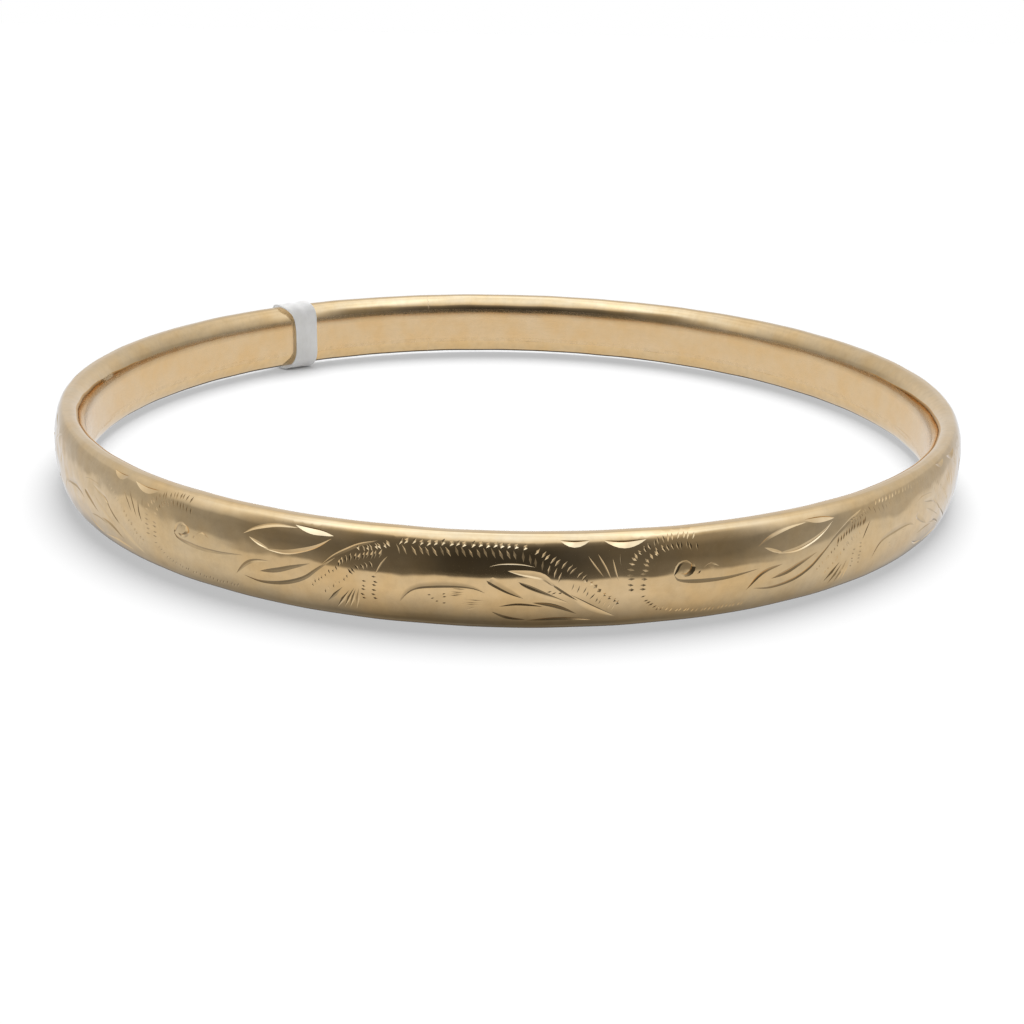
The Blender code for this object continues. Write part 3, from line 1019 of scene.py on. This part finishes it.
def cool(value, azimuth):
    """The dark room and the table are neutral. The sky, and what stands to the sides, is slightly cool."""
    least = SIDE_COOLNESS if azimuth > SIDES_FROM else 0
    share = min(1, max(least, (value - COOL_FROM) / (COOL_FULL - COOL_FROM)))
    return (*[value * (1 + more * share) for more in COOLNESS], 1)


def studio_colour(s, direction, height):
    """The colour that polished metal sees in a direction, mixed from the views on either side of it."""
    azimuth = s.maths("ARCTAN2", direction[0], s.maths("MULTIPLY", direction[1], -1))
    side = s.maths("ABSOLUTE", s.maths("DIVIDE", azimuth, math.pi))
    views = [s.ramp(height, *[(height_share(elevation), cool(value, degrees)) for elevation, value in stops])
             for degrees, stops in VIEWS]
    colour = views[0]
    for (before, _), (after, _), view in zip(VIEWS, VIEWS[1:], views[1:]):
        share = s.map_range(side, (before / 180, after / 180), kind="SMOOTHSTEP")
        colour = s.mix(share, colour, view)
    return colour


def make_world():
    """White to the camera, a soft sky to matt surfaces, and the studio to polished metal."""
    world = bpy.data.worlds.new("studio")
    bpy.context.scene.world = world
    s = Shading(world)
    direction = s.node("SeparateXYZ", s.node("TexCoord").outputs["Generated"]).outputs
    height = s.maths("MULTIPLY_ADD", s.maths("ARCSINE", direction[2]), 1 / math.pi, 0.5)
    overhead = s.ramp(height, (height_share(25), grey(0.14)), (height_share(50), grey(0.80)))
    rays = s.node("LightPath").outputs
    matt = s.mix(rays["Is Camera Ray"], overhead, grey(PAPER))
    seen = s.mix(rays["Is Glossy Ray"], matt, studio_colour(s, direction, height))
    s.feed(s.tree.nodes["Background"].inputs["Color"], seen)
    world.cycles.sampling_method = "NONE"


def make_sun(name, strength, azimuth, elevation, spread):
    """A soft light on the paper and the strap, which the metal doesn't mirror. Angles are in degrees."""
    light = bpy.data.lights.new(name, "SUN")
    light.energy = strength
    light.angle = math.radians(spread)
    obj = new_object(name, light)
    obj.rotation_euler = (math.radians(90 - elevation), 0, math.radians(azimuth))
    obj.visible_glossy = False


def floor_height(x, y):
    """The floor touches the strap's underside and, across the ring, the band's lower edge."""
    gap = SHELL_LOW.z - TAG_LOW.z
    slope = gap / (2 * RIM_RADIUS)
    toward_tag = x * math.sin(TAG_AZIMUTH) - y * math.cos(TAG_AZIMUTH)
    return gap / 2 - slope * toward_tag


def flat_stage(name, outline, raised, mat, hidden_from):
    """One face of the studio that lies on the floor or a little over it, unseen by some kinds of ray."""
    mesh = bpy.data.meshes.new(name)
    corners = [(x, y, floor_height(x, y) + raised) for x, y in outline]
    mesh.from_pydata(corners, [], [tuple(range(len(corners)))])
    mesh.materials.append(mat)
    obj = new_object(name, mesh)
    for kind in hidden_from:
        setattr(obj, "visible_" + kind, False)


def make_floor():
    s = Shading(bpy.data.materials.new("paper"))
    s.set_surface({"Base Color": grey(0.9), "Roughness": 1.0, "Specular IOR Level": 0.0})
    square = [(x * FLOOR_HALF_SIZE, y * FLOOR_HALF_SIZE) for x, y in ((-1, -1), (1, -1), (1, 1), (-1, 1))]
    flat_stage("floor", square, 0.0, s.owner, ("glossy",))


def make_inner_table():
    """The lit table inside the ring, which only the inner face's reflection shows."""
    turns = [2 * math.pi * i / TABLE_CORNERS for i in range(TABLE_CORNERS)]
    s = Shading(bpy.data.materials.new("inner_table_light"))
    s.tree.nodes.remove(s.surface)
    light = s.node("Emission", Strength=TABLE_LIGHT)
    s.feed(s.tree.nodes["Material Output"].inputs["Surface"], light.outputs[0])
    disc = [(TABLE_RADIUS * math.sin(turn), TABLE_RADIUS * math.cos(turn)) for turn in turns]
    flat_stage("inner_table", disc, TABLE_RAISED, s.owner, ("camera", "diffuse", "transmission", "shadow"))


# ---------------- the whole scene

make_camera()
make_world()
make_sun("key", strength=2.0, azimuth=173, elevation=66, spread=40)
make_floor()
make_inner_table()

polished = gold("polished_gold_engraved", (0.85, 0.605, 0.325), roughness=0.05, scratch=0.2, stain=0.10)
satin = gold("satin_gold_inside", (0.835, 0.60, 0.34), roughness=0.20, scratch=0.05, stain=0.03)
solder = gold("gold_solder_seam", (0.83, 0.60, 0.34), roughness=0.24, scratch=0.15, stain=0.12)

make_shell(polished)
make_liner(satin)
make_edge_solders(solder)
make_joint_solders(solder)
make_strap(white_strap())

bpy.context.scene.view_settings.view_transform = "Standard"
